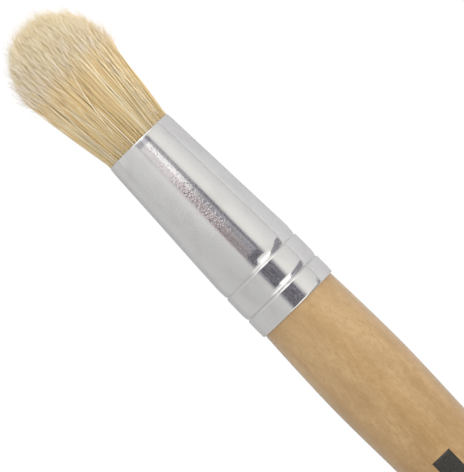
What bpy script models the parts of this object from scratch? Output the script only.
"""Round hog-bristle brush: a turned handle, a crimped aluminium ferrule, and bristles in nine tufts.

The brush lies on its side. +X runs from the handle's tail to the bristle tips and +Z is up. The
origin is on the surface that the brush lies on, under the middle of its length. A "station" is a
distance along the brush's axis from the ferrule's mouth: positive among the bristles, negative back
along the ferrule and the handle. Lengths are in metres and angles in degrees, unless a name says
otherwise.
"""

import math

import bmesh
import bpy
from mathutils import Matrix, Vector

# Round pieces: every one has this many sides, and a flat facing straight down to rest on.
SIDES = 24
CLEARANCE = 0.0003

# Bristles
BRISTLE_REACH = 0.0249
MOUTH_BUNDLE_RADIUS = 0.00565
BELLY_STATION = 0.0155
BELLY_BUNDLE_RADIUS = 0.0081
TUFT_COUNT = 8
CORE_RADIUS = 0.00245
CORE_SIDES = 12

# Where the bristles bend: sideways in the mouth, up and down above it, and outwards in the head
BEND_SIDE_STATION = 0.0025
BEND_SIDE_BALL = 0.0052
BEND_UP_STATION = 0.0080
BEND_UP_BALL = 0.0064
SPLAY_STATION = 0.0120
SPLAY_RADIUS = CORE_RADIUS + CLEARANCE
SPLAY_ANGLE = 15.0
SOCKET_LIP = 0.0004
SHOULDER_RISE = 0.0004

# Ferrule
FERRULE_LENGTH = 0.0336
FERRULE_WALL = 0.00035
MOUTH_RADIUS = 0.0060
BAND_RADIUS = 0.0070
TAPER_END_STATION = -0.0243
CRIMP_STATIONS = (-0.0257, -0.0302)
CRIMP_DEPTH = 0.0002
# Each crimp sinks slowly on the mouth's side and comes back out in a step: how far towards the mouth
# from the crimp's bottom, and the share of the depth there
CRIMP_SHAPE = ((0.0018, 0.0), (0.0009, 0.3), (0.0003, 0.8), (0.0, 1.0), (-0.0002, 0.4), (-0.0009, 0.0))
EDGE_ROUND = 0.00012

# Bristle roots, their binding and the resin that they are set in
ROOT_END_STATION = -0.0140
ROOT_BOUND_RADIUS = 0.0050
BINDING_STATION = -0.0105
BINDING_TURNS = 4
THREAD_DIAMETER = 0.0005
RESIN_TOP_STATION = -0.0112
RESIN_BACK_STATION = -0.0175

# Handle
TENON_END_STATION = -0.0185
TENON_CHAMFER = 0.0005
HANDLE_LENGTH = 0.1500
SHOULDER_RADIUS = 0.00666
HANDLE_BELLY_LENGTH = 0.0149
HANDLE_BELLY_RADIUS = 0.00712
HANDLE_BELLY_CURVE = 1.5
HANDLE_TAPER_CURVE = 1.1
TAIL_RADIUS = 0.0034
TAIL_ROUND = 0.0045
TAIL_FLAT_RADIUS = 0.0019

# Worked out from the above
TAIL_STATION = -FERRULE_LENGTH - HANDLE_LENGTH
MOUTH_X = -(BRISTLE_REACH + TAIL_STATION) / 2
AXIS_Z = BELLY_BUNDLE_RADIUS
SIDE_STEP = 360.0 / SIDES
TUFT_STEP = 360.0 / TUFT_COUNT
TO_CORNER = 1 / math.cos(math.radians(SIDE_STEP / 2))
DOWN = -90.0

# Colours and finishes: red, green, blue, roughness, metallic
FINISHES = {
    "varnished_wood": (0.78, 0.58, 0.38, 0.35, 0.0),
    "aluminium": (0.80, 0.80, 0.82, 0.28, 1.0),
    "bristle": (0.86, 0.74, 0.52, 0.60, 0.0),
    "resin": (0.55, 0.36, 0.14, 0.20, 0.0),
    "thread": (0.90, 0.88, 0.80, 0.80, 0.0),
}


def clear_scene():
    for thing in list(bpy.data.objects):
        bpy.data.objects.remove(thing, do_unlink=True)


def finish(name, slot):
    """Give each piece a Principled material of its own."""
    red, green, blue, roughness, metallic = FINISHES[slot]
    material = bpy.data.materials.new(name)
    material.use_nodes = True
    shader = material.node_tree.nodes["Principled BSDF"]
    shader.inputs["Base Color"].default_value = (red, green, blue, 1.0)
    shader.inputs["Roughness"].default_value = roughness
    shader.inputs["Metallic"].default_value = metallic
    return material


def spread(start, end, steps):
    """Evenly spaced values from start to end, both included."""
    return [start + (end - start) * i / steps for i in range(steps + 1)]


# ---- Outlines: each is a closed or axis-to-axis list of (station, radius) ----


def bundle_radius(station):
    """The bristle bundle flares evenly out of the mouth and ends in a round dome."""
    if station <= BELLY_STATION:
        share = station / BELLY_STATION
        return MOUTH_BUNDLE_RADIUS + (BELLY_BUNDLE_RADIUS - MOUTH_BUNDLE_RADIUS) * share
    share = (station - BELLY_STATION) / (BRISTLE_REACH - BELLY_STATION)
    return BELLY_BUNDLE_RADIUS * math.sqrt(max(0.0, 1 - share * share))


def dome_station(radius):
    """Where the dome has this radius."""
    share = math.sqrt(1 - (radius / BELLY_BUNDLE_RADIUS) ** 2)
    return BELLY_STATION + (BRISTLE_REACH - BELLY_STATION) * share


def sphere_arc(pivot_station, ball_radius, from_radius, to_radius, steps=5):
    """The back half of a sphere about a pivot, between two distances from the axis."""
    start = math.asin(from_radius / ball_radius)
    end = math.asin(to_radius / ball_radius)
    return [
        (pivot_station - ball_radius * math.cos(a), ball_radius * math.sin(a))
        for a in spread(start, end, steps)
    ]


def socket_rim_radius(station, ball_radius, pivot_station):
    """Where the socket around a ball reaches this station."""
    depth = pivot_station - station
    return math.sqrt((ball_radius + CLEARANCE) ** 2 - depth * depth)


def shank_top_station():
    """The shank ends in a narrow flat lip between its outside and the socket in its top."""
    socket = BEND_UP_BALL + CLEARANCE
    lip_inner = bundle_radius(BEND_SIDE_STATION * 2) - SOCKET_LIP
    return BEND_UP_STATION - math.sqrt(socket * socket - lip_inner * lip_inner)


def shank_outline(inner, outer):
    """One stretch of bristle between the two bends, from inner to outer distance from the axis."""
    socket = BEND_UP_BALL + CLEARANCE
    bottom_outer = min(outer, BEND_SIDE_BALL)
    outline = sphere_arc(BEND_SIDE_STATION, BEND_SIDE_BALL, inner, bottom_outer)
    socket_outer = outer
    if outer > BEND_SIDE_BALL:
        top = shank_top_station()
        shoulder = BEND_SIDE_STATION + SHOULDER_RISE
        outline += [(s, bundle_radius(s)) for s in spread(shoulder, top, 2)]
        socket_outer = socket_rim_radius(top, BEND_UP_BALL, BEND_UP_STATION)
    outline += sphere_arc(BEND_UP_STATION, socket, inner, socket_outer)[::-1]
    return outline


def head_core_outline():
    """The head's ball, its sloping heel and the column of bristle up the middle."""
    heel_drop = math.tan(math.radians(SPLAY_ANGLE))
    heel_top = SPLAY_STATION - CLEARANCE
    rim_radius = bundle_radius(SPLAY_STATION - 0.0015)
    rim_station = heel_top - (rim_radius - SPLAY_RADIUS) * heel_drop
    shoulder = BEND_UP_STATION + SHOULDER_RISE
    outline = sphere_arc(BEND_UP_STATION, BEND_UP_BALL, 0.0, BEND_UP_BALL, 7)
    outline += [(s, bundle_radius(s)) for s in (shoulder, rim_station)]
    outline += [(heel_top, SPLAY_RADIUS), (heel_top, CORE_RADIUS)]
    outline += [(dome_station(CORE_RADIUS), CORE_RADIUS)]
    outline += [(dome_station(CORE_RADIUS * share), CORE_RADIUS * share) for share in (0.6, 0.0)]
    return outline


def tip_tuft_outline():
    """A tuft of the head outside its core, with its hinge at its inner bottom edge."""
    flare = spread(SPLAY_STATION, BELLY_STATION, 2)
    dome_angles = spread(0.0, math.acos(SPLAY_RADIUS / BELLY_BUNDLE_RADIUS), 7)[1:]
    outline = [(SPLAY_STATION, SPLAY_RADIUS)]
    outline += [(s, bundle_radius(s)) for s in flare]
    for angle in dome_angles:
        radius = BELLY_BUNDLE_RADIUS * math.cos(angle)
        outline.append((dome_station(radius), radius))
    return outline


def root_outline():
    """Bristle roots inside the ferrule, drawn in by the binding, with the mouth's socket on top."""
    socket = BEND_SIDE_BALL + CLEARANCE
    outer = MOUTH_BUNDLE_RADIUS - CLEARANCE
    lip_inner = outer - SOCKET_LIP
    top = BEND_SIDE_STATION - math.sqrt(socket * socket - lip_inner * lip_inner)
    outline = [(ROOT_END_STATION, 0.0), (ROOT_END_STATION, ROOT_BOUND_RADIUS)]
    outline += [(BINDING_STATION + BINDING_TURNS * THREAD_DIAMETER, ROOT_BOUND_RADIUS)]
    outline += [(top, outer)]
    outline += sphere_arc(BEND_SIDE_STATION, socket, 0.0, lip_inner)[::-1]
    return outline


def binding_outline():
    """Turns of waxed thread side by side around the roots: flat inside, a row of rounds outside."""
    inner = ROOT_BOUND_RADIUS + CLEARANCE
    half = THREAD_DIAMETER / 2
    outline = [(BINDING_STATION + BINDING_TURNS * THREAD_DIAMETER, inner), (BINDING_STATION, inner)]
    for turn in range(BINDING_TURNS):
        middle = BINDING_STATION + (turn + 0.5) * THREAD_DIAMETER
        for angle in (150, 90, 30):
            along = half * math.cos(math.radians(angle))
            outward = half * math.sin(math.radians(angle))
            outline.append((middle + along, inner + outward))
    return outline


def crimp_share(offset):
    """How deep a crimp is at this offset from its bottom, as a share of its full depth."""
    for (ahead, ahead_share), (behind, behind_share) in zip(CRIMP_SHAPE, CRIMP_SHAPE[1:]):
        if behind <= offset <= ahead:
            share = (ahead - offset) / (ahead - behind)
            return ahead_share + (behind_share - ahead_share) * share
    return 0.0


def ferrule_radius(station):
    """Outside of the ferrule: an even taper, then a straight band, with two crimps pressed in."""
    taper_share = min(1.0, station / TAPER_END_STATION)
    radius = MOUTH_RADIUS + (BAND_RADIUS - MOUTH_RADIUS) * taper_share
    return radius - CRIMP_DEPTH * sum(crimp_share(station - crimp) for crimp in CRIMP_STATIONS)


def band_stations():
    """Every corner of the crimped band, from the taper's end back to the last crimp."""
    return [crimp + offset for crimp in CRIMP_STATIONS for offset, _ in CRIMP_SHAPE]


def ferrule_outline():
    """A drawn tube of even wall, so a crimp shows inside as well as outside."""
    back = -FERRULE_LENGTH
    corners = [-EDGE_ROUND] + band_stations() + [back + EDGE_ROUND]
    outline = [(0.0, MOUTH_RADIUS - EDGE_ROUND)]
    outline += [(s, ferrule_radius(s)) for s in corners]
    outline += [(back, BAND_RADIUS - EDGE_ROUND), (back, BAND_RADIUS - FERRULE_WALL)]
    outline += [(s, ferrule_radius(s) - FERRULE_WALL) for s in reversed(band_stations())]
    outline += [(0.0, MOUTH_RADIUS - FERRULE_WALL)]
    return outline


def bore_fit(station):
    """The largest radius that stays clear of the ferrule's inside."""
    return ferrule_radius(station) - FERRULE_WALL - CLEARANCE


def resin_outline():
    """A plug of cured resin across the ferrule, with a rim that comes up around the roots."""
    floor = ROOT_END_STATION - CLEARANCE
    inner = ROOT_BOUND_RADIUS + CLEARANCE
    return [
        (RESIN_BACK_STATION, 0.0),
        (RESIN_BACK_STATION, bore_fit(RESIN_BACK_STATION)),
        (RESIN_TOP_STATION, bore_fit(RESIN_TOP_STATION)),
        (RESIN_TOP_STATION, inner),
        (floor, inner),
        (floor, 0.0),
    ]


def handle_radius(behind):
    """Outside of the bare handle, by the distance behind the ferrule's end."""
    if behind <= HANDLE_BELLY_LENGTH:
        share = 1 - (1 - behind / HANDLE_BELLY_LENGTH) ** HANDLE_BELLY_CURVE
        return SHOULDER_RADIUS + (HANDLE_BELLY_RADIUS - SHOULDER_RADIUS) * share
    taper_length = HANDLE_LENGTH - HANDLE_BELLY_LENGTH
    share = ((behind - HANDLE_BELLY_LENGTH) / taper_length) ** HANDLE_TAPER_CURVE
    return HANDLE_BELLY_RADIUS + (TAIL_RADIUS - HANDLE_BELLY_RADIUS) * share


def tail_outline():
    """The handle's rounded tail, down to the small flat that it can be stood on."""
    start = HANDLE_LENGTH - TAIL_ROUND
    outline = []
    for angle in spread(0.0, 90.0, 5)[1:]:
        behind = start + TAIL_ROUND * math.sin(math.radians(angle))
        curve = math.cos(math.radians(angle))
        radius = TAIL_FLAT_RADIUS + (handle_radius(start) - TAIL_FLAT_RADIUS) * curve
        outline.append((-FERRULE_LENGTH - behind, radius))
    return outline


def handle_outline():
    """The tenon inside the ferrule, pressed in by the crimps, and the turned handle behind it."""
    shoulder = CLEARANCE
    belly = spread(shoulder, HANDLE_BELLY_LENGTH, 5)
    taper = spread(HANDLE_BELLY_LENGTH, HANDLE_LENGTH - TAIL_ROUND, 10)[1:]
    front_radius = bore_fit(TENON_END_STATION) - TENON_CHAMFER
    outline = [(TENON_END_STATION, 0.0), (TENON_END_STATION, front_radius)]
    tenon = [TENON_END_STATION - TENON_CHAMFER] + band_stations() + [-FERRULE_LENGTH - shoulder]
    outline += [(s, bore_fit(s)) for s in tenon]
    outline += [(-FERRULE_LENGTH - behind, handle_radius(behind)) for behind in belly + taper]
    outline += tail_outline()
    outline.append((TAIL_STATION, 0.0))
    return outline


# ---- Solids ----


def outline_mesh(outline, angle, closed):
    """Draw the outline's edges in a new bmesh, in the half-plane at this angle around the axis."""
    shape = bmesh.new()
    across = Vector((0.0, math.cos(math.radians(angle)), math.sin(math.radians(angle))))
    centre = Vector((MOUTH_X, 0.0, AXIS_Z))
    corners = [
        shape.verts.new(centre + Vector((station, 0.0, 0.0)) + across * radius * TO_CORNER)
        for station, radius in outline
    ]
    for first, second in zip(corners, corners[1:]):
        shape.edges.new((first, second))
    if closed:
        shape.edges.new((corners[-1], corners[0]))
    return shape


def spin(shape, degrees, steps):
    """Turn the drawn outline about the brush's axis."""
    bmesh.ops.spin(
        shape,
        geom=shape.verts[:] + shape.edges[:],
        cent=(MOUTH_X, 0.0, AXIS_Z),
        axis=(1.0, 0.0, 0.0),
        angle=math.radians(degrees),
        steps=steps,
        use_duplicate=False,
    )
    bmesh.ops.remove_doubles(shape, verts=shape.verts[:], dist=1e-7)


def cut_side(shape, angle, outward_sign):
    """Cut a tuft's side half a clearance inside its boundary plane, and close it with one face."""
    turn = math.radians(angle)
    outward = Vector((0.0, -math.sin(turn), math.cos(turn))) * outward_sign
    point = Vector((MOUTH_X, 0.0, AXIS_Z)) - outward * CLEARANCE / 2
    bmesh.ops.bisect_plane(
        shape,
        geom=shape.verts[:] + shape.edges[:] + shape.faces[:],
        dist=1e-8,
        plane_co=point,
        plane_no=outward,
        clear_outer=True,
    )
    rim = [e for e in shape.edges if e.is_boundary and cut_holds(e, point, outward)]
    bmesh.ops.edgeloop_fill(shape, edges=rim)


def cut_holds(edge, point, outward):
    """Whether both ends of an edge lie in the cut."""
    return all(abs((corner.co - point).dot(outward)) < 1e-6 for corner in edge.verts)


def add_piece(name, shape, slot, pivot, parent):
    """Turn a bmesh in world coordinates into an object whose origin is its pivot."""
    bmesh.ops.recalc_face_normals(shape, faces=shape.faces[:])
    bmesh.ops.transform(shape, matrix=Matrix.Translation(-pivot), verts=shape.verts[:])
    mesh = bpy.data.meshes.new(name)
    shape.to_mesh(mesh)
    shape.free()
    mesh.shade_smooth()
    mesh.set_sharp_from_angle(angle=math.radians(30))
    mesh.materials.append(finish(name, slot))
    piece = bpy.data.objects.new(name, mesh)
    bpy.context.scene.collection.objects.link(piece)
    attach(piece, pivot, parent)
    return piece


def attach(thing, place, parent):
    """Put a thing at a world place, as a child of a pivot if it has one."""
    if parent is None:
        thing.location = place
        return
    thing.parent = parent
    thing.location = place - Vector(parent["place"])


def add_pivot(name, station, parent=None):
    """An empty on a bend's axis, which everything beyond that bend hangs from."""
    place = Vector((MOUTH_X + station, 0.0, AXIS_Z))
    pivot = bpy.data.objects.new(name, None)
    bpy.context.scene.collection.objects.link(pivot)
    pivot["place"] = place
    attach(pivot, place, parent)
    return pivot


def turned(name, outline, slot, sides=SIDES, closed=False, parent=None):
    """A piece that is round all the way about the brush's axis."""
    pivot = Vector(parent["place"]) if parent else Vector((MOUTH_X, 0.0, AXIS_Z))
    shape = outline_mesh(outline, DOWN + 180.0 / sides, closed)
    spin(shape, 360.0, sides)
    return add_piece(name, shape, slot, pivot, parent)


def tuft(name, outline, number, pivot, parent):
    """One of the tufts around the core: a slice of the turned shape, with a clearance each side."""
    middle = DOWN + TUFT_STEP * number
    low, high = middle - TUFT_STEP / 2, middle + TUFT_STEP / 2
    shape = outline_mesh(outline, low, closed=True)
    spin(shape, TUFT_STEP, round(TUFT_STEP / SIDE_STEP))
    cut_side(shape, high, 1.0)
    cut_side(shape, low, -1.0)
    return add_piece(name, shape, "bristle", pivot, parent)


def splay_pivot(number):
    """The middle of a tip tuft's hinge, at the tuft's inner bottom edge."""
    turn = math.radians(DOWN + TUFT_STEP * number)
    across = Vector((0.0, math.cos(turn), math.sin(turn)))
    return Vector((MOUTH_X + SPLAY_STATION, 0.0, AXIS_Z)) + across * SPLAY_RADIUS


def build_handle_and_ferrule():
    turned("handle", handle_outline(), "varnished_wood")
    turned("ferrule", ferrule_outline(), "aluminium", closed=True)


def build_root():
    turned("resin_plug", resin_outline(), "resin")
    turned("binding_thread", binding_outline(), "thread", closed=True)
    turned("bristle_roots", root_outline(), "bristle")


def build_shank(pivot):
    turned("shank_core", shank_outline(0.0, CORE_RADIUS), "bristle", CORE_SIDES, parent=pivot)
    outline = shank_outline(SPLAY_RADIUS, BEND_UP_BALL)
    for number in range(TUFT_COUNT):
        tuft(f"shank_tuft_{number + 1}", outline, number, Vector(pivot["place"]), pivot)


def build_head(pivot):
    turned("head_core", head_core_outline(), "bristle", parent=pivot)
    outline = tip_tuft_outline()
    for number in range(TUFT_COUNT):
        tuft(f"tip_tuft_{number + 1}", outline, number, splay_pivot(number), pivot)


def main():
    clear_scene()
    build_handle_and_ferrule()
    build_root()
    side_pivot = add_pivot("bend_side_pivot", BEND_SIDE_STATION)
    up_pivot = add_pivot("bend_up_pivot", BEND_UP_STATION, side_pivot)
    build_shank(side_pivot)
    build_head(up_pivot)


main()
